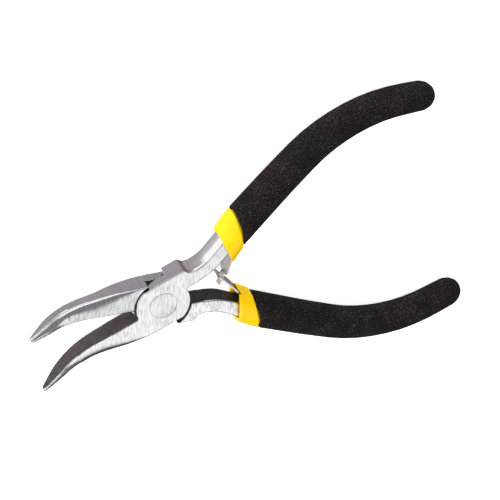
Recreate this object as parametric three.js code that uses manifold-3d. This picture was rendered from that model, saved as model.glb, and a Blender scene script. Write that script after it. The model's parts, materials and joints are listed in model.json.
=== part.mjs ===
// Bent-nose mini pliers: two identical forgings lapped on one flush rivet, two interlocking leaf
// springs that hold them open, and a collar and a foam grip on each handle. Millimetres, +Z up: the
// pliers lie flat, tips towards -X, the rivet's axis along Z, the nose curving up.
import * as THREE from "three";
import { mergeVertices } from "three/addons/utils/BufferGeometryUtils.js";
import Module from "manifold-3d";

// Driving dimensions
const thickness = 6; // of the forged steel
const halfOpening = 12; // degrees that each half is turned from closed, at rest
const facesGap = 0.03; // from each gripping face to the plane where they meet
const lapGap = 0.05; // from each lapped face to the middle plane

const discRadius = 7.75; // the boss of each half around the rivet
const shoulderRadius = 8.15; // the pocket that the other half's boss turns in
const bandHeight = 7; // from the middle to the straight sides of the joint
const earEnd = 9; // where the joint's corner ends on the handle side
const earReach = 11.4; // where that corner has run into the handle
const earSide = 5.2; // from the middle to the handle's outer side there
const bellyInside = 1.15; // from the middle plane to the inner side of the handle, by the joint

const rivetRadius = 2.9;
const rivetHeadRadius = 3.8;
const rivetHeadDepth = 0.9;
const rivetFit = 0.05;

const jawLength = 38.6; // pivot to tip, measured along the pliers
const bendStart = 20.5; // where the nose begins to curve up
const bendRadius = 21;
const bendAngle = 34;
const cornerFullness = 0.78; // of the jaw's upper outer corner: 1 is a quarter of an ellipse
const tipLength = 0.6; // of the rounding at the tip
const tipRounding = 0.35; // the share that the last section is shrunk by

const steelWidth = 4.5; // of the handle, seen from above
const steelCorner = 0.12; // the radius of its inner corners, as a share of its width
const crown = 0.9; // how far the handle's outer side bulges
const tangNarrowing = 0.7; // how much narrower and thinner the steel gets inside the grip
const tangThinning = 2;
const tangEnd = 80; // how far the steel runs inside the grip
const collarStart = 21.8; // along the pliers, with the jaws closed
const gripStart = 27.4;
const spigotEnd = 34; // the collar's thinner length, inside the grip
const gripEnd = 90.6;
const collarRadius = 4.9;
const collarShift = 1; // of its mouth from the steel's middle, towards the spring
const seamTilt = 10; // degrees, of the seam between collar and grip
const spigotRadius = 3.9;
const seatGap = 0.3; // between pieces that touch

const leafThickness = 0.5;
const leafWidth = 4.8;
const tongueWidth = 2.2;
const slotWidth = 3;
const slotLength = 3.8;
const leafRoot = [24.6, 5.2]; // the rolled root's centre, with the jaws closed
const leafRootRadius = 0.8;
const leafCross = 11.4; // from the root to where the two leaves cross
const leafOverrun = 2.2; // of the leaf past the crossing
const leafAngle = 231.5; // degrees, of the line from the root to the crossing
const leafBow = 0.4; // how far the leaf bows from that line, away from the joint

const segments = 64; // of a full circle on the joint
const deg = THREE.MathUtils.degToRad;

// Against the distance from the pivot: the jaw's height from its gripping face, its thickness,
// the share of the height and the depth that the upper outer corner is rounded by, and the
// radius of the lower outer corner.
const jawHeight = [
  [0, 7], [4, 7], [7, 6.9], [10, 6.6], [13, 6.4], [19.6, 5.15], [26.4, 4.15], [32, 3.1], [35, 2.3],
  [38.6, 1.3],
];
const jawThickness = [[0, 6], [14, 6], [26, 5], [33, 3.9], [38.6, 1.4]];
const roundShare = [[0, 0.03], [7, 0.06], [10, 0.3], [13, 0.55], [17, 0.8], [20.5, 0.94], [38.6, 0.94]];
const roundDepth = [[0, 0.1], [7, 0.2], [10, 0.7], [13, 1.3], [18, 2.1], [24, 2.6], [32, 2.1], [38.6, 0.7]];
const backRadius = [[0, 0.2], [7, 0.3], [10, 0.6], [13, 1.3], [18, 2.2], [26, 2.3], [32, 1.7], [38.6, 0.6]];

// The middle of the handle, with the jaws closed, and the grip's diameter along it.
const handleLine = new THREE.CatmullRomCurve3(
  [[9, 3.4], [13, 3.4], [16, 3.9], [18.6, 5], [21.8, 6.6], [32, 11], [45.7, 16.7], [56, 20.3],
    [66, 21.5], [76, 20.4], [90.5, 15.1]].map(([x, y]) => new THREE.Vector3(x, y, 0)),
);
const gripDiameter = [[27, 10], [50, 9.5], [70, 8.9], [86, 8.3]];

const steel = new THREE.MeshStandardMaterial({ color: 0xc9c9cc, metalness: 1, roughness: 0.32 });
const springSteel = new THREE.MeshStandardMaterial({ color: 0xb8b4b0, metalness: 1, roughness: 0.3 });
const yellowVinyl = new THREE.MeshStandardMaterial({ color: 0xffd800, roughness: 0.25 });
const blackFoam = new THREE.MeshStandardMaterial({ color: 0x2b2c30, roughness: 0.9 });

const wasm = await Module();
wasm.setup();

function solid(geometry) {
  const bare = geometry.index ? geometry.toNonIndexed() : geometry.clone();
  bare.deleteAttribute("normal");
  bare.deleteAttribute("uv");
  const merged = mergeVertices(bare, 1e-4);
  return new wasm.Manifold(new wasm.Mesh({
    numProp: 3,
    vertProperties: merged.attributes.position.array,
    triVerts: new Uint32Array(merged.index.array),
  }));
}

function geometryOf(body) {
  const mesh = body.getMesh();
  const geometry = new THREE.BufferGeometry();
  geometry.setAttribute("position", new THREE.BufferAttribute(mesh.vertProperties, 3));
  geometry.setIndex(new THREE.BufferAttribute(mesh.triVerts, 1));
  geometry.computeVertexNormals();
  return geometry;
}

// A value read from a table of [distance, value] pairs.
function along(table, x) {
  const next = table.findIndex(([at]) => at >= x);
  if (next === 0) return table[0][1];
  if (next < 0) return table[table.length - 1][1];
  const [[x0, v0], [x1, v1]] = [table[next - 1], table[next]];
  return THREE.MathUtils.mapLinear(x, x0, x1, v0, v1);
}

// A closed solid through rings of points, which all hold the same number of points.
function loft(rings) {
  const count = rings[0].length;
  const middle = (ring) => ring.reduce((sum, p) => sum.add(p), new THREE.Vector3()).divideScalar(count);
  const points = [...rings.flat(), middle(rings[0]), middle(rings[rings.length - 1])];
  const faces = [];
  const first = rings.length * count;
  const last = first + 1;
  for (let i = 0; i < count; i++) {
    const j = (i + 1) % count;
    for (let r = 0; r < rings.length - 1; r++) {
      const [a, b] = [r * count, (r + 1) * count];
      faces.push(a + i, a + j, b + j, a + i, b + j, b + i);
    }
    faces.push(first, j, i, last, first - count + i, first - count + j);
  }
  const geometry = new THREE.BufferGeometry().setFromPoints(points);
  geometry.setIndex(faces);
  let made = solid(geometry);
  if (made.volume() < 0) {
    geometry.setIndex(faces.reverse());
    made = solid(geometry);
  }
  return made;
}

// An outline in the XY plane, from bottom to top.
function plate(shape, bottom, top) {
  const geometry = new THREE.ExtrudeGeometry(shape, {
    depth: top - bottom, bevelEnabled: false, curveSegments: segments / 2,
  });
  return solid(geometry.translate(0, 0, bottom));
}

function turned(profile, sides = segments) {
  return solid(new THREE.LatheGeometry(profile.map(([r, z]) => new THREE.Vector2(r, z)), sides)
    .rotateX(Math.PI / 2));
}

// A rounded corner at the origin. fullness is 1 for a quarter of an ellipse, and less for a squarer one.
function roundCorner(wide, deep, steps, fullness = 1) {
  return Array.from({ length: steps + 1 }, (_, i) => {
    const turn = (Math.PI / 2) * (i / steps);
    return [wide * (1 - Math.sin(turn) ** fullness), deep * (1 - Math.max(Math.cos(turn), 0) ** fullness)];
  });
}

// A section of the jaw, square at its gripping face and rounded on its outer side.
function jawRing(distance, side) {
  const bend = Math.min(Math.max(distance - bendStart, 0) / bendRadius, Math.sin(deg(bendAngle)));
  const angle = Math.asin(bend);
  const straight = Math.max(distance - bendStart - bendRadius * Math.sin(deg(bendAngle)), 0);
  const rise = bendRadius * (1 - Math.cos(angle)) + straight * Math.tan(deg(bendAngle));
  const height = along(jawHeight, distance);
  const half = along(jawThickness, distance) / 2;
  const back = Math.min(along(backRadius, distance), 0.9 * half, height / 2);
  const wide = along(roundShare, distance) * height;
  const deep = Math.min(along(roundDepth, distance), 1.95 * half - back);
  const flat = [[-facesGap, half], [-facesGap, -half]];
  const lower = roundCorner(back, back, 4).map(([across, off]) => [across - height, -half + off]);
  const upper = roundCorner(wide, deep, 8, cornerFullness).reverse()
    .map(([across, off]) => [across - height, half - off]);
  return [...flat, ...lower, ...upper].map(([y, off]) => new THREE.Vector3(
    off * Math.sin(angle) - distance, y, side * (rise + off * Math.cos(angle))));
}

// The handle's middle at x, and the direction across it.
function handleFrame(x) {
  let [low, high] = [0, 1];
  for (let i = 0; i < 30; i++) {
    const mid = (low + high) / 2;
    if (handleLine.getPoint(mid).x < x) low = mid;
    else high = mid;
  }
  const at = handleLine.getPoint(low);
  const tangent = handleLine.getTangent(low);
  return { at, across: new THREE.Vector3(-tangent.y, tangent.x, 0).normalize() };
}

// A section of the handle's steel, with a crowned outer side. grow widens it all round.
function steelRing(x, width, depth, grow) {
  const { at, across } = handleFrame(x);
  const small = steelCorner * width;
  const steps = 10;
  const ring = [];
  for (const top of [1, -1]) {
    for (let i = 0; i <= 3; i++) {
      const turn = (Math.PI / 2) * (top > 0 ? 1 - i / 3 : i / 3);
      ring.push([-(width / 2 + grow - small + small * Math.cos(turn)),
        top * (depth / 2 + grow - small + small * Math.sin(turn))]);
    }
  }
  for (let i = 0; i <= steps; i++) {
    const rise = (2 * i) / steps - 1;
    ring.push([width / 2 + grow + crown * (1 / 3 - rise * rise), rise * (depth / 2 + grow)]);
  }
  return ring.map(([u, z]) => at.clone().addScaledVector(across, u).setZ(z));
}

function handleSteel(grow = 0, from = earEnd) {
  const stations = [];
  for (let x = from; x < tangEnd + grow; x += x < 26 ? 1 : 6) stations.push(x);
  stations.push(tangEnd + grow);
  return loft(stations.map((x) => {
    const taper = THREE.MathUtils.smoothstep(x, spigotEnd, tangEnd);
    return steelRing(x, steelWidth - tangNarrowing * taper, thickness - tangThinning * taper, grow);
  }));
}

// A circle across the handle. shift moves it away from the other handle.
function roundRing(x, radius, shift = 0, sides = 36) {
  const { at, across } = handleFrame(x);
  return Array.from({ length: sides }, (_, i) => {
    const turn = (2 * Math.PI * i) / sides;
    return at.clone().addScaledVector(across, shift + radius * Math.cos(turn)).setZ(radius * Math.sin(turn));
  });
}

// One half block that keeps everything beyond x, square to the pliers.
function beyond(x, sign = 1) {
  const size = 200;
  return solid(new THREE.BoxGeometry(size, size, size).translate(x + (sign * size) / 2, 0, 0));
}

// The same, cut along the tilted seam between collar and grip.
function beyondSeam(offset, sign = 1) {
  const { at } = handleFrame(gripStart);
  return beyond(offset, sign).rotate([0, 0, -seamTilt]).translate([at.x, at.y, 0]);
}

// side is 1 for the half whose jaw is built to curve up as it stands, -1 where it will be turned over.
function half(side) {
  const stations = [0, 4, 7, 8.5, 10, 11.5, 13, 15, 17, 19];
  for (let d = bendStart; d < jawLength - 1; d += 1.2) stations.push(d);
  stations.push(jawLength - tipLength);
  const rings = stations.map((d) => jawRing(d, side));
  const tip = jawRing(jawLength, side);
  const tipMiddle = tip.reduce((sum, p) => sum.add(p), new THREE.Vector3()).divideScalar(tip.length);
  rings.push(tip.map((p) => p.clone().lerp(tipMiddle, tipRounding)));
  const jaw = loft(rings);

  const ear = new THREE.Shape();
  ear.moveTo(-1, bellyInside);
  ear.lineTo(earReach, bellyInside);
  ear.lineTo(earReach, earSide);
  ear.quadraticCurveTo(10.2, 5.3, 9.8, 6.1);
  ear.quadraticCurveTo(9.4, bandHeight, earEnd - 0.4, bandHeight);
  ear.lineTo(-1, bandHeight);
  ear.closePath();

  const boss = new THREE.Shape();
  const corner = Math.asin(bandHeight / discRadius);
  boss.absarc(0, 0, discRadius, -corner, corner, false);
  boss.absarc(0, 0, discRadius, Math.PI - corner, Math.PI + corner, false);
  boss.closePath();

  const top = thickness / 2;
  const pocket = turned([[0, -20], [shoulderRadius, -20], [shoulderRadius, lapGap], [0, lapGap]]);
  const head = rivetHeadRadius + rivetFit;
  const hole = rivetRadius + rivetFit;
  const bore = turned([
    [0, -top], [hole, -top], [hole, top - rivetHeadDepth], [head, top], [head + 1, top + 1], [0, top + 1],
  ]);
  const groove = turned([[0, -top - 1], [leafRootRadius + 0.1, -top - 1], [leafRootRadius + 0.1, top + 1],
    [0, top + 1]], 24).translate([leafRoot[0], leafRoot[1], 0]);
  return jaw
    .add(plate(ear, -top, top))
    .add(handleSteel())
    .subtract(pocket)
    .add(plate(boss, lapGap, top))
    .subtract(bore)
    .subtract(groove);
}

// The strip of a leaf spring, drawn from its root towards the crossing and beyond.
function leafPoint(s) {
  const turn = deg(leafAngle);
  const bow = leafBow * Math.sin((Math.PI * s) / leafCross);
  const [x, y] = leafRoot;
  return new THREE.Vector3(
    x + s * Math.cos(turn) - bow * Math.sin(turn), y + s * Math.sin(turn) + bow * Math.cos(turn), 0);
}

function leafStrip(from, to, width, thick = leafThickness) {
  const rings = [];
  const steps = Math.max(2, Math.round((to - from) / 1.2));
  for (let i = 0; i <= steps; i++) {
    const s = from + ((to - from) * i) / steps;
    const ahead = leafPoint(s + 0.01).sub(leafPoint(s - 0.01)).normalize();
    const normal = new THREE.Vector3(-ahead.y, ahead.x, 0).multiplyScalar(thick / 2);
    const at = leafPoint(s);
    rings.push([[1, 1], [-1, 1], [-1, -1], [1, -1]].map(([n, z]) =>
      at.clone().addScaledVector(normal, n).setZ((z * width) / 2)));
  }
  return loft(rings);
}

function leaf(withTongue) {
  const reach = leafCross + leafOverrun;
  const root = turned([[0, -leafWidth / 2], [leafRootRadius, -leafWidth / 2], [leafRootRadius, leafWidth / 2],
    [0, leafWidth / 2]], 20).translate([leafRoot[0], leafRoot[1], 0]);
  if (withTongue) {
    return root.add(leafStrip(0, leafCross - slotLength / 2, leafWidth))
      .add(leafStrip(leafCross - slotLength, reach, tongueWidth));
  }
  return root.add(leafStrip(0, reach, leafWidth))
    .subtract(leafStrip(leafCross - slotLength / 2, leafCross + slotLength / 2, slotWidth, 3));
}

// The space that the leaf swings through inside the collar.
function leafPocket() {
  const shape = new THREE.Shape();
  const [x, y] = leafRoot;
  const reach = 5; // how far along the leaf the pocket is cut
  const room = leafRootRadius + seatGap;
  const mouthGap = 0.65; // between the leaf's middle and the collar
  const open = leafPoint(reach);
  const spare = 4; // degrees past the closed position
  const shut = deg(leafAngle - 2 * halfOpening - spare);
  shape.moveTo(x + room, y + room);
  shape.lineTo(x + reach * Math.cos(shut), y + reach * Math.sin(shut) + mouthGap);
  shape.lineTo(open.x, open.y - mouthGap);
  shape.lineTo(x + 0.1, y - room);
  shape.lineTo(x + room, y - room / 2);
  shape.closePath();
  return plate(shape, -leafWidth / 2 - seatGap, leafWidth / 2 + seatGap);
}

function collar() {
  const body = loft([18, 20, 22, 24, 26, 28, 30].map((x) =>
    roundRing(x, collarRadius, -collarShift * (1 - THREE.MathUtils.smoothstep(x, 20, 29)))))
    .intersect(beyond(collarStart)).intersect(beyondSeam(-seatGap, -1));
  const spigot = loft([24, 26, 28, 30, 32, 34, 36].map((x) => roundRing(x, spigotRadius)))
    .intersect(beyondSeam(-1)).intersect(beyond(spigotEnd, -1));
  return body.add(spigot).subtract(handleSteel(seatGap, 15)).subtract(leafPocket());
}

function grip() {
  const stations = [24, 27];
  for (let x = 31; x < gripEnd - 7; x += 4) stations.push(x);
  const rings = stations.map((x) => roundRing(x, along(gripDiameter, x) / 2));
  const endRadius = along(gripDiameter, gripEnd) / 2;
  const endDepth = 1.05 * endRadius; // the end is a little longer than half a ball
  for (const turn of [10, 35, 60, 80].map(deg)) {
    rings.push(roundRing(gripEnd - endDepth * (1 - Math.sin(turn)), endRadius * Math.cos(turn)));
  }
  const socket = loft([24, 26, 28, 30, 32, 34, 36, 38].map((x) => roundRing(x, spigotRadius + seatGap)))
    .intersect(beyond(spigotEnd + seatGap, -1));
  return loft(rings).intersect(beyondSeam(0)).subtract(socket).subtract(handleSteel(seatGap, 15));
}

function node(name, body, material) {
  const mesh = new THREE.Mesh(geometryOf(body), material);
  mesh.name = name;
  return mesh;
}

const top = thickness / 2;
const rivet = turned([[0, -top], [rivetHeadRadius, -top], [rivetRadius, rivetHeadDepth - top],
  [rivetRadius, top - rivetHeadDepth], [rivetHeadRadius, top], [0, top]]);

const frontHalf = new THREE.Group();
frontHalf.rotation.z = deg(halfOpening);
frontHalf.add(
  node("front_half", half(1), steel),
  node("pivot_rivet", rivet, steel),
  node("upper_leaf_spring", leaf(true), springSteel),
  node("upper_collar", collar(), yellowVinyl),
  node("upper_grip", grip(), blackFoam),
);

const turnedOver = new THREE.Group();
turnedOver.rotation.x = Math.PI;
turnedOver.add(
  node("back_half", half(-1), steel),
  node("lower_leaf_spring", leaf(false), springSteel),
  node("lower_collar", collar(), yellowVinyl),
  node("lower_grip", grip(), blackFoam),
);
const backHalf = new THREE.Group();
backHalf.rotation.z = -deg(halfOpening);
backHalf.add(turnedOver);

const tool = new THREE.Group();
tool.add(frontHalf, backHalf);
const box = new THREE.Box3().setFromObject(tool, true);
const middle = box.getCenter(new THREE.Vector3());
tool.position.set(-middle.x, -middle.y, -box.min.z);

const pliers = new THREE.Group();
pliers.add(tool);
export default pliers;
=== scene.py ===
import bpy
import json
import math
import numpy as np
from mathutils import Matrix, Vector


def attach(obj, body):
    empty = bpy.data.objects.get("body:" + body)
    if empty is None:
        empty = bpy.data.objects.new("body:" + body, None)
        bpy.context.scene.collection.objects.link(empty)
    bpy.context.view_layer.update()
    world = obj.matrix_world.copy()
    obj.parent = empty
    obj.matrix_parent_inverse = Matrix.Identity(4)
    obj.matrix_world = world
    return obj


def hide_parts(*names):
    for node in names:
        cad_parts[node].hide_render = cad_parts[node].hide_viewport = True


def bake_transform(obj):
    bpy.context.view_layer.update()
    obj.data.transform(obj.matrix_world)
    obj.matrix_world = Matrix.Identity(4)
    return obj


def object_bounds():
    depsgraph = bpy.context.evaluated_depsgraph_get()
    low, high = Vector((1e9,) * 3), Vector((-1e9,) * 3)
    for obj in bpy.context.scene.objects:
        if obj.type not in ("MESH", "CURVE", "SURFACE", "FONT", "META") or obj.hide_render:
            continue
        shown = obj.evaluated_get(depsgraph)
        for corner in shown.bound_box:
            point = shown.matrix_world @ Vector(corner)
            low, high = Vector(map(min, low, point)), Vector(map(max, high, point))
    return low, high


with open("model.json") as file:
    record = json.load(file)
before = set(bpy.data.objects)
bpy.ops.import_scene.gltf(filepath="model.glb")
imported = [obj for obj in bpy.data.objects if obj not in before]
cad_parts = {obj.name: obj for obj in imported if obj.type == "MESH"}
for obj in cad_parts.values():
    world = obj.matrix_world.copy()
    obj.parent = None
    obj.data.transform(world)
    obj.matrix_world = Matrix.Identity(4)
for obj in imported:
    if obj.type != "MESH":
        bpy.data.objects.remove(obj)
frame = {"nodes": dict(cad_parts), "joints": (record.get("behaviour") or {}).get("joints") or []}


def jointPlace(name):
    return Vector(next(joint for joint in frame["joints"] if joint["name"] == name)["pos_m"])


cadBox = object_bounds()
mm = 0.001
pivot = jointPlace("jaw_pivot")
opening = 12  # degrees that each half is turned from closed

# the camera looks down on the joint, rolled so that the jaws point left
view = dict(
    toCamera=(-0.199, 0.618, 0.760),  # from the rivet
    up=(0.344, 0.770, -0.537),
    distance=629 * mm,
    lens=169,  # mm
    sensor=36,  # mm
    aside=(24.2 * mm, 13.3 * mm),  # the rivet sits left of and below the middle
)


def setCamera():
    back = Vector(view["toCamera"]).normalized()
    right = Vector(view["up"]).cross(back).normalized()
    up = back.cross(right)
    lens = bpy.data.cameras.new("camera")
    lens.lens = view["lens"]
    lens.sensor_width = view["sensor"]
    camera = bpy.data.objects.new("camera", lens)
    bpy.context.scene.collection.objects.link(camera)
    aside, above = view["aside"]
    place = pivot + right * aside + up * above + back * view["distance"]
    camera.matrix_world = Matrix.Translation(place) @ Matrix((right, up, back)).transposed().to_4x4()
    bpy.context.scene.camera = camera


def linear(code):
    # "#RRGGBB" to the linear colour that a socket takes
    values = [int(code[i:i + 2], 16) / 255 for i in (1, 3, 5)]
    return [v / 12.92 if v <= 0.04045 else ((v + 0.055) / 1.055) ** 2.4 for v in values] + [1]


def addNode(tree, kind, inputs=None, **settings):
    # inputs: socket name or number -> a value, or a (node, output) pair to link
    node = tree.nodes.new(kind)
    for name, value in settings.items():
        setattr(node, name, value)
    for name, value in (inputs or {}).items():
        if isinstance(value, tuple) and isinstance(value[0], bpy.types.Node):
            tree.links.new(value[0].outputs[value[1]], node.inputs[name])
        else:
            node.inputs[name].default_value = value
    return node


def newMaterial(name):
    made = bpy.data.materials.new(name)
    made.use_nodes = True
    return made, made.node_tree, made.node_tree.nodes["Principled BSDF"]


def shade(colour, share):
    return [channel * share for channel in colour[:3]] + [1]


def ramp(tree, source, stops):
    # stops: (position, colour) pairs in order
    node = addNode(tree, "ShaderNodeValToRGB", {0: source})
    band = node.color_ramp
    band.elements[0].position, band.elements[0].color = stops[0]
    band.elements[1].position, band.elements[1].color = stops[-1]
    for place, colour in stops[1:-1]:
        band.elements.new(place).color = colour
    return node


def only(piece):
    # edit mode off, and this piece alone selected and active
    if bpy.context.object and bpy.context.object.mode != "OBJECT":
        bpy.ops.object.mode_set(mode="OBJECT")
    bpy.ops.object.select_all(action="DESELECT")
    piece.select_set(True)
    bpy.context.view_layer.objects.active = piece


def copyOf(node, name):
    # a merged copy of a CAD solid, to work on
    only(frame["nodes"][node])
    bpy.ops.object.duplicate()
    piece = bpy.context.object
    piece.name = piece.data.name = name
    piece.parent = None
    piece.data.materials.clear()
    only(piece)
    bpy.ops.object.mode_set(mode="EDIT")
    bpy.ops.mesh.select_all(action="SELECT")
    bpy.ops.mesh.remove_doubles(threshold=0.002 * mm)
    bpy.ops.object.mode_set(mode="OBJECT")
    return piece


def cutAway(piece, point, normal):
    # everything on the normal's side of the plane goes
    only(piece)
    bpy.ops.object.mode_set(mode="EDIT")
    bpy.ops.mesh.select_all(action="SELECT")
    bpy.ops.mesh.bisect(plane_co=point, plane_no=normal, clear_outer=True, use_fill=True)
    bpy.ops.object.mode_set(mode="OBJECT")


def modify(piece, kind, **settings):
    only(piece)
    modifier = piece.modifiers.new(kind.lower(), kind)
    for name, value in settings.items():
        setattr(modifier, name, value)
    bpy.ops.object.modifier_apply(modifier=modifier.name)


def soften(piece, voxel, rounds):
    # an even skin, with every edge eased by a little more than the voxel
    modify(piece, "REMESH", mode="VOXEL", voxel_size=voxel, adaptivity=0)
    modify(piece, "SMOOTH", factor=0.5, iterations=rounds)
    bpy.ops.object.shade_smooth()


def placesAndNormals(items, place):
    # items: a mesh's polygons, whose place is "center", or its vertices, whose place is "co"
    places, normals = np.empty(len(items) * 3), np.empty(len(items) * 3)
    items.foreach_get(place, places)
    items.foreach_get("normal", normals)
    return places.reshape(-1, 3), normals.reshape(-1, 3)


# puts a material, here always the dark painted shade, on the chosen faces
def paintShadeOnFaces(piece, material, chosen):
    # chosen: one true or false for every face
    piece.data.materials.append(material)
    index = np.zeros(len(piece.data.polygons), dtype=np.int32)
    piece.data.polygons.foreach_get("material_index", index)
    index[chosen] = len(piece.data.materials) - 1
    piece.data.polygons.foreach_set("material_index", index)


steelLook = dict(
    # the two halves are one steel: the differences in their tones are painted light and shade
    front=("#EBEBEC", "#BBBBBE", 0.94),
    back=("#DADADB", "#9B9B9F", 1.22),  # the half that lies lower: its jaw painted duller, as shade, and its handle brighter, as painted light
    paintedLightSpan=(-8 * mm, 4 * mm),  # from the rivet, where the jaw's painted light and shade passes into the handle's
    polished="#CFCDD0",
    grindAngle=80,  # degrees, the way the belt ran across the flats
    lineWidth=0.24 * mm,  # real belt lines are finer, drawn as coarse as shows
    lineLength=2.4 * mm,
    cloudSize=3 * mm,
    relief=0.012 * mm,
    flatFrom=(0.93, 0.99),  # how far a normal points up or down where rounded passes into flat
    roughFlat=0.34,
    roughRound=0.17,
)


def groundSteel(name, bright, dull, paintedHandleLight):
    # drop-forged carbon steel, flats ground on a belt: bright, in fine straight lines, with the rounded
    # outer edges polished smoother than the flats; the last argument is the handle's brightness beside the
    # jaw's, painted light above 1 and painted shade below 1
    material, tree, shader = newMaterial(name)
    look = steelLook
    where = addNode(tree, "ShaderNodeTexCoord")
    along = addNode(tree, "ShaderNodeMapping", {
        "Vector": (where, "Object"), "Rotation": (0, 0, -math.radians(look["grindAngle"])),
    })
    lines = addNode(tree, "ShaderNodeMapping", {
        "Vector": (along, 0), "Scale": (1 / look["lineLength"], 1 / look["lineWidth"], 100),
    })
    grain = addNode(tree, "ShaderNodeTexNoise", {
        "Vector": (lines, 0), "Scale": 1.0, "Detail": 3.0, "Roughness": 0.65,
    })
    cloud = addNode(tree, "ShaderNodeTexNoise", {
        "Vector": (where, "Object"), "Scale": 1 / look["cloudSize"], "Detail": 2.0,
    })
    both = addNode(tree, "ShaderNodeMix", {0: 0.2, 2: (grain, 0), 3: (cloud, 0)})
    ground = ramp(tree, (both, 0), [(0.36, linear(dull)), (0.58, linear(bright))])
    place = addNode(tree, "ShaderNodeSeparateXYZ", {0: (where, "Object")})
    # painted light and shade: the colour is multiplied from 1 at the jaw to the handle's factor at the
    # handle
    jawSide, handleSide = look["paintedLightSpan"]
    paintedLightTowardsHandle = addNode(tree, "ShaderNodeMapRange", {
        "Value": (place, 0), "From Min": pivot.x + jawSide, "From Max": pivot.x + handleSide,
        "To Min": 1.0, "To Max": paintedHandleLight,
    })
    tone = addNode(tree, "ShaderNodeMix", {
        0: 1.0, 6: (ground, 0), 7: (paintedLightTowardsHandle, 0),
    }, data_type="RGBA", blend_type="MULTIPLY")
    facing = addNode(tree, "ShaderNodeSeparateXYZ", {0: (where, "Normal")})
    flatness = addNode(tree, "ShaderNodeMath", {0: (facing, 2)}, operation="ABSOLUTE")
    rounded, flat = look["flatFrom"]
    polished = addNode(tree, "ShaderNodeMapRange", {
        "Value": (flatness, 0), "From Min": rounded, "From Max": flat, "To Min": 0.7, "To Max": 0.0,
    })
    evened = addNode(tree, "ShaderNodeMix", {
        0: (polished, 0), 6: (tone, 2), 7: linear(look["polished"]),
    }, data_type="RGBA")
    relief = addNode(tree, "ShaderNodeBump", {
        "Height": (grain, 0), "Strength": 0.25, "Distance": look["relief"],
    })
    sheen = addNode(tree, "ShaderNodeMapRange", {
        "Value": (flatness, 0), "From Min": rounded, "From Max": flat,
        "To Min": look["roughRound"], "To Max": look["roughFlat"],
    })
    tree.links.new(evened.outputs[2], shader.inputs["Base Color"])
    tree.links.new(sheen.outputs[0], shader.inputs["Roughness"])
    tree.links.new(relief.outputs[0], shader.inputs["Normal"])
    shader.inputs["Metallic"].default_value = 1
    return material


paintedShadeLook = dict(
    # painted shade: the dark steel of the gripping faces and of the handles' inner sides
    grip="#4A4346",
    inner="#2A2A2D",
    cloudSize=1.6 * mm,
    relief=0.03 * mm,
    rough=0.5,
    specular=0.3,
)


def paintedShadeSteel(name, colour):
    # dull dark steel as painted shade, for the gripping faces, the handles' inner sides and the joint's
    # recess
    material, tree, shader = newMaterial(name)
    where = addNode(tree, "ShaderNodeTexCoord")
    cloud = addNode(tree, "ShaderNodeTexNoise", {
        "Vector": (where, "Object"), "Scale": 1 / paintedShadeLook["cloudSize"], "Detail": 4.0,
    })
    base = linear(colour)
    tone = ramp(tree, (cloud, 0), [(0.3, shade(base, 0.7)), (0.7, shade(base, 1.35))])
    relief = addNode(tree, "ShaderNodeBump", {
        "Height": (cloud, 0), "Strength": 0.2, "Distance": paintedShadeLook["relief"],
    })
    tree.links.new(tone.outputs[0], shader.inputs["Base Color"])
    tree.links.new(relief.outputs[0], shader.inputs["Normal"])
    shader.inputs["Roughness"].default_value = paintedShadeLook["rough"]
    shader.inputs["Specular IOR Level"].default_value = paintedShadeLook["specular"]
    return material


halfSizes = dict(
    tangKept=33 * mm,  # along the pliers from the rivet; the rest is inside the grip
    voxel=0.16 * mm,
    rounds=3,
    jawFrom=7.2 * mm,  # where the gripping face starts
    handleFrom=6.5 * mm,
    innerFacing=-67,  # degrees, the way the handle's inner side faces
    pocket=(7.85 * mm, 8.5 * mm),  # the wall of the lap joint's pocket, from the rivet
    boss=7.75 * mm,  # the radius of the disc that turns in the other half's pocket
    rimFrom=6 * mm,  # the disc's rim is painted dark, as shade, from here towards the jaws
    noseFrom=15 * mm,  # where the polished nose starts
    noseFade=4 * mm,
    noseTo=35.5 * mm,
    tipFade=2 * mm,
    gripKept=0.6 * mm,  # the edges of the gripping face stay crisp, to this depth
    gripFade=0.8 * mm,
    noseRounds=50,
    ridge=26.2 * mm,  # where the belt stopped, and the polishing wheel took off a little more
    ridgeFade=0.5 * mm,
    ridgeDepth=0.13 * mm,
)


def polishNose(piece, outwards, gripWay):
    # the nose's outer side is polished by hand, which rounds it and evens it out
    size = halfSizes
    points, _ = placesAndNormals(piece.data.vertices, "co")
    reach = -(points - np.array(pivot)) @ np.array(outwards)
    depth = -(points - np.array(pivot)) @ np.array(gripWay)
    weight = np.clip((reach - size["noseFrom"]) / size["noseFade"], 0, 1)
    weight *= np.clip((size["noseTo"] - reach) / size["tipFade"], 0.15, 1)
    weight *= np.clip((depth - size["gripKept"]) / size["gripFade"], 0, 1)
    nose = piece.vertex_groups.new(name="nose")
    for index in np.flatnonzero(weight > 0.01):
        nose.add([int(index)], float(weight[index]), "REPLACE")
    modify(piece, "SMOOTH", factor=0.5, iterations=size["noseRounds"], vertex_group="nose")
    points, normals = placesAndNormals(piece.data.vertices, "co")
    reach = -(points - np.array(pivot)) @ np.array(outwards)
    past = np.clip((reach - size["ridge"]) / size["ridgeFade"], 0, 1)
    upper = normals[:, 2] > 0.3
    points -= normals * (past * upper * size["ridgeDepth"])[:, None]
    piece.data.vertices.foreach_set("co", points.ravel())
    piece.data.update()


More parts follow.
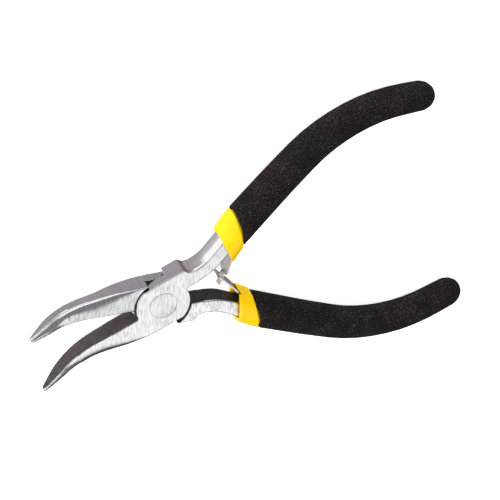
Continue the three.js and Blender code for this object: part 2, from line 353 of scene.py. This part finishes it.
def makeHalf(node, name, side, steel, shadedGripFace, shadedInside):
    # side is 1 for the half that is turned anticlockwise by the opening
    size = halfSizes
    piece = copyOf(node, name)
    turn = math.radians(opening * side)
    outwards = Vector((math.cos(turn), math.sin(turn), 0))
    gripWay = Matrix.Rotation(math.radians(90 * side), 3, "Z") @ outwards
    cutAway(piece, pivot + outwards * size["tangKept"], outwards)
    soften(piece, size["voxel"], size["rounds"])
    polishNose(piece, outwards, gripWay)
    piece.data.materials.append(steel)
    middles, normals = placesAndNormals(piece.data.polygons, "center")
    fromPivot = middles - np.array(pivot)
    reach = fromPivot @ np.array(outwards)
    spread = np.hypot(fromPivot[:, 0], fromPivot[:, 1])
    towardsPivot = -(normals[:, :2] * fromPivot[:, :2]).sum(axis=1) / np.maximum(spread, mm)

    def facing(degrees):
        angle = math.radians(degrees) * side
        return normals @ np.array((math.cos(angle), math.sin(angle), 0))

    # painted shade: the pocket's wall, the ledge at the middle and the disc's rim get the dark steel, as
    # the recess's shade
    near, far = size["pocket"]
    wall = (towardsPivot > 0.5) & (spread > near) & (spread < far)
    ledge = (abs(fromPivot[:, 2]) < 0.5 * mm) & (abs(normals[:, 2]) > 0.7) & (spread < far)
    rim = (towardsPivot < -0.4) & (abs(spread - size["boss"]) < 0.35 * mm) & (reach < -size["rimFrom"])
    paintShadeOnFaces(piece, shadedInside, wall | ledge | rim)
    # painted shade: the gripping faces and the handles' inner sides get the dark steel
    paintShadeOnFaces(piece, shadedGripFace, (facing(90 + opening) > 0.86) & (reach < -size["jawFrom"]))
    paintShadeOnFaces(piece, shadedInside, (facing(size["innerFacing"]) > 0.82) & (reach > size["handleFrom"]))
    print(name, len(piece.data.polygons), "faces")
    return piece


rivetSizes = dict(radius=3.84 * mm, depth=5.98 * mm, ease=0.06 * mm, sides=96)


def makeRivet(steel):
    size = rivetSizes
    bpy.ops.object.select_all(action="DESELECT")
    bpy.ops.mesh.primitive_cylinder_add(
        vertices=size["sides"], radius=size["radius"], depth=size["depth"], location=pivot,
    )
    piece = bpy.context.object
    piece.name = piece.data.name = "flushRivet"
    bpy.ops.object.mode_set(mode="EDIT")
    bpy.ops.mesh.select_mode(type="FACE")
    bpy.ops.mesh.select_all(action="DESELECT")
    bpy.ops.object.mode_set(mode="OBJECT")
    for face in piece.data.polygons:
        face.select = abs(face.normal.z) > 0.9  # the two heads
    bpy.ops.object.mode_set(mode="EDIT")
    bpy.ops.mesh.bevel(offset=size["ease"], segments=3, affect="EDGES")
    bpy.ops.object.mode_set(mode="OBJECT")
    bpy.ops.object.transform_apply(location=True)
    piece.data.materials.append(steel)
    bpy.ops.object.shade_smooth_by_angle(angle=math.radians(30))
    print("rivet done")
    return piece


springLook = dict(
    colour="#CAC5C3",
    rough=0.25,
    lines=(150, 150, 3500),  # to the metre
    smoothBelow=25,  # degrees between faces
    crossing=17.9 * mm,  # from the rivet to where the two leaves cross
    bendLength=4.5 * mm,
)


def springSteel():
    # cold-rolled spring strip: smooth, slightly grey, faint lengthwise mill lines
    material, tree, shader = newMaterial("cold-rolled spring steel strip")
    where = addNode(tree, "ShaderNodeTexCoord")
    lines = addNode(tree, "ShaderNodeMapping", {"Vector": (where, "Object"), "Scale": springLook["lines"]})
    grain = addNode(tree, "ShaderNodeTexNoise", {"Vector": (lines, 0), "Scale": 1.0, "Detail": 2.0})
    base = linear(springLook["colour"])
    tone = ramp(tree, (grain, 0), [(0.35, shade(base, 0.82)), (0.65, base)])
    tree.links.new(tone.outputs[0], shader.inputs["Base Color"])
    shader.inputs["Metallic"].default_value = 1
    shader.inputs["Roughness"].default_value = springLook["rough"]
    return material


def bendLeaf(leaf):
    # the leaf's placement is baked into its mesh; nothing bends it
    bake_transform(leaf)


def makeLeaf(node, name, material):
    piece = copyOf(node, name)
    bpy.ops.object.shade_smooth_by_angle(angle=math.radians(springLook["smoothBelow"]))
    piece.data.materials.append(material)
    print(name, "done")
    return piece


collarLook = dict(
    colours=("#FFCB00", "#FFD300"),
    cloudSize=2.2 * mm,
    relief=0.05 * mm,
    rough=0.24,
    specular=0.22,
    voxel=0.13 * mm,
    rounds=14,
)


def glossVinyl():
    # dip-moulded soft PVC: saturated, wet-looking gloss with a barely uneven skin
    material, tree, shader = newMaterial("dip-moulded PVC, gloss yellow")
    where = addNode(tree, "ShaderNodeTexCoord")
    cloud = addNode(tree, "ShaderNodeTexNoise", {
        "Vector": (where, "Object"), "Scale": 1 / collarLook["cloudSize"], "Detail": 1.0,
    })
    relief = addNode(tree, "ShaderNodeBump", {
        "Height": (cloud, 0), "Strength": 0.25, "Distance": collarLook["relief"],
    })
    deep, pale = map(linear, collarLook["colours"])
    tone = ramp(tree, (cloud, 0), [(0.3, deep), (0.7, pale)])
    tree.links.new(tone.outputs[0], shader.inputs["Base Color"])
    tree.links.new(relief.outputs[0], shader.inputs["Normal"])
    shader.inputs["Roughness"].default_value = collarLook["rough"]
    shader.inputs["Specular IOR Level"].default_value = collarLook["specular"]
    return material


gripLook = dict(
    dark="#0B0909",
    middle="#1E1A1A",
    light="#544C4A",
    cell=0.38 * mm,  # the foam's cells
    patch=6 * mm,  # the foam is a little lighter here and there
    relief=0.09 * mm,
    rough=0.8,
    specular=0.06,
    voxel=0.26 * mm,
    rounds=12,
)


def foamVinyl():
    # foamed PVC sleeve: matt charcoal, closed cells that catch the light as fine specks
    material, tree, shader = newMaterial("foamed PVC, charcoal")
    where = addNode(tree, "ShaderNodeTexCoord")
    cells = addNode(tree, "ShaderNodeTexNoise", {
        "Vector": (where, "Object"), "Scale": 1 / gripLook["cell"], "Detail": 3.0, "Roughness": 0.7,
    })
    patches = addNode(tree, "ShaderNodeTexNoise", {
        "Vector": (where, "Object"), "Scale": 1 / gripLook["patch"], "Detail": 1.0,
    })
    both = addNode(tree, "ShaderNodeMix", {0: 0.12, 2: (cells, 0), 3: (patches, 0)})
    tone = ramp(tree, (both, 0), [
        (0.32, linear(gripLook["dark"])),
        (0.54, linear(gripLook["middle"])),
        (0.7, linear(gripLook["light"])),
    ])
    relief = addNode(tree, "ShaderNodeBump", {
        "Height": (cells, 0), "Strength": 0.7, "Distance": gripLook["relief"],
    })
    tree.links.new(tone.outputs[0], shader.inputs["Base Color"])
    tree.links.new(relief.outputs[0], shader.inputs["Normal"])
    shader.inputs["Roughness"].default_value = gripLook["rough"]
    shader.inputs["Specular IOR Level"].default_value = gripLook["specular"]
    return material


def makeSleeve(node, name, material, look):
    piece = copyOf(node, name)
    soften(piece, look["voxel"], look["rounds"])
    piece.data.materials.append(material)
    print(name, len(piece.data.polygons), "faces")
    return piece


studio = dict(
    floor="#F4F4F4",
    floorGlow=0.75,
    floorSize=6,  # metres
    floorGap=0.05 * mm,  # between the floor and the object
    lightDistance=0.8,  # metres from the rivet
    lights=dict(
        key=dict(aim=(0.2, -0.62, 0.76), size=(0.9, 0.55), power=1.8),
        high=dict(aim=(0.15, 0.82, 0.55), size=(1.1, 0.26), power=1.5),
        low=dict(aim=(0.1, 0.98, 0.17), size=(1.1, 0.2), power=1.0),
        fill=dict(aim=(-0.25, 0.2, 0.95), size=(0.6, 0.6), power=2.2, gloss=False),
    ),
    above=(0.3, 0.3, 0.3, 1),
    groundLeft=(0.85, 0.83, 0.83, 1),
    card=(1.5, 1.5, 1.5, 1),
)


def addLight(name, aim, size, power, gloss=True):
    # aim: the way from the rivet to the light; gloss: whether shiny things mirror it
    toLight = Vector(aim).normalized()
    lamp = bpy.data.lights.new(name, "AREA")
    lamp.shape = "RECTANGLE"
    lamp.size, lamp.size_y = size
    lamp.energy = power
    light = bpy.data.objects.new(name, lamp)
    bpy.context.scene.collection.objects.link(light)
    place = pivot + toLight * studio["lightDistance"]
    light.matrix_world = Matrix.Translation(place) @ toLight.to_track_quat("Z", "Y").to_matrix().to_4x4()
    light.visible_camera = False
    light.visible_glossy = gloss


def layFloor():
    # a sheet of matt white paper, lit a little from below
    bpy.ops.object.select_all(action="DESELECT")
    height = cadBox[0][2] - studio["floorGap"]
    bpy.ops.mesh.primitive_plane_add(size=studio["floorSize"], location=(0, 0, height))
    floor = bpy.context.object
    floor.name = floor.data.name = "floor"
    material, tree, shader = newMaterial("matt white paper sweep")
    shader.inputs["Base Color"].default_value = linear(studio["floor"])
    shader.inputs["Roughness"].default_value = 0.9
    shader.inputs["Emission Color"].default_value = (1, 1, 1, 1)
    shader.inputs["Emission Strength"].default_value = studio["floorGlow"]
    floor.data.materials.append(material)
    floor.visible_glossy = False


def setWorld():
    # what the steel mirrors, by direction: x runs to the right of the object, y behind it and z up
    world = bpy.data.worlds.new("studio")
    world.use_nodes = True
    tree = world.node_tree
    where = addNode(tree, "ShaderNodeTexCoord")
    way = addNode(tree, "ShaderNodeSeparateXYZ", {0: (where, "Generated")})

    def fade(axis, start, end, low=0.0, high=1.0):
        return addNode(tree, "ShaderNodeMapRange", {
            "Value": (way, axis), "From Min": start, "From Max": end, "To Min": low, "To Max": high,
        })

    def mix(share, first, second, **settings):
        return addNode(tree, "ShaderNodeMix", {0: share, 6: first, 7: second}, data_type="RGBA", **settings)

    groundRight = ramp(tree, (way, 0), [
        (0.0, (0.5, 0.46, 0.5, 1)), (0.35, (0.48, 0.44, 0.48, 1)), (0.75, (0.08, 0.08, 0.08, 1)),
    ])
    ground = mix((fade(0, -0.1, -0.7), 0), (groundRight, 0), studio["groundLeft"])
    room = mix((fade(2, -0.15, 0.05), 0), (ground, 2), studio["above"])
    # a white card stands low on the left, for the long highlight on the crowned handle
    card = addNode(tree, "ShaderNodeMath", {
        0: (fade(2, -0.52, -0.4), 0), 1: (fade(0, -0.4, -0.6), 0),
    }, operation="MULTIPLY")
    carded = mix((card, 0), (room, 2), studio["card"])
    flagged = mix(1.0, (carded, 2), (fade(1, -0.95, -0.6, 0.2), 0), blend_type="MULTIPLY")
    path = addNode(tree, "ShaderNodeLightPath")
    seen = mix((path, "Is Camera Ray"), (flagged, 2), (1, 1, 1, 1))
    tree.links.new(seen.outputs[2], tree.nodes["Background"].inputs["Color"])
    bpy.context.scene.world = world
    bpy.context.scene.view_settings.view_transform = "Standard"


setCamera()
steel = groundSteel("drop-forged steel, belt ground", *steelLook["front"])
# a lit and shaded copy of the same steel: painted shade on the jaw, painted light on the handle
backSteelPaintedLight = groundSteel("drop-forged steel, belt ground, lower half", *steelLook["back"])
# painted shade, as dark steel materials
shadedGripFace = paintedShadeSteel("painted shade on the gripping face", paintedShadeLook["grip"])
shadedInside = paintedShadeSteel("painted shade inside the handles and the joint", paintedShadeLook["inner"])
front = makeHalf("front_half", "frontForging", 1, steel, shadedGripFace, shadedInside)
back = makeHalf("back_half", "backForging", -1, backSteelPaintedLight, shadedGripFace, shadedInside)

# each piece, the body it rides on, the CAD node it stands for and its material slot
pieces = [
    (front, "front_body", "front_half", "forged_steel"),
    (back, "back_body", "back_half", "forged_steel"),
    (makeRivet(steel), "front_body", "pivot_rivet", "rivet_steel"),
]
strip = springSteel()
vinyl = glossVinyl()
foam = foamVinyl()
for level, body in (("upper", "front_body"), ("lower", "back_body")):
    leaf = makeLeaf(level + "_leaf_spring", level + "Leaf", strip)
    bendLeaf(leaf)
    collar = makeSleeve(level + "_collar", level + "Collar", vinyl, collarLook)
    grip = makeSleeve(level + "_grip", level + "Grip", foam, gripLook)
    pieces += [
        (leaf, None, level + "_leaf_spring", "spring_steel"),
        (collar, body, level + "_collar", "collar_vinyl"),
        (grip, body, level + "_grip", "grip_foam"),
    ]
for piece, body, node, slot in pieces:
    if body:  # a leaf is attached to no body
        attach(piece, body)
    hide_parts(node)
print("pieces done")

layFloor()
for name, light in studio["lights"].items():
    addLight(name, **light)
setWorld()
print("studio done")
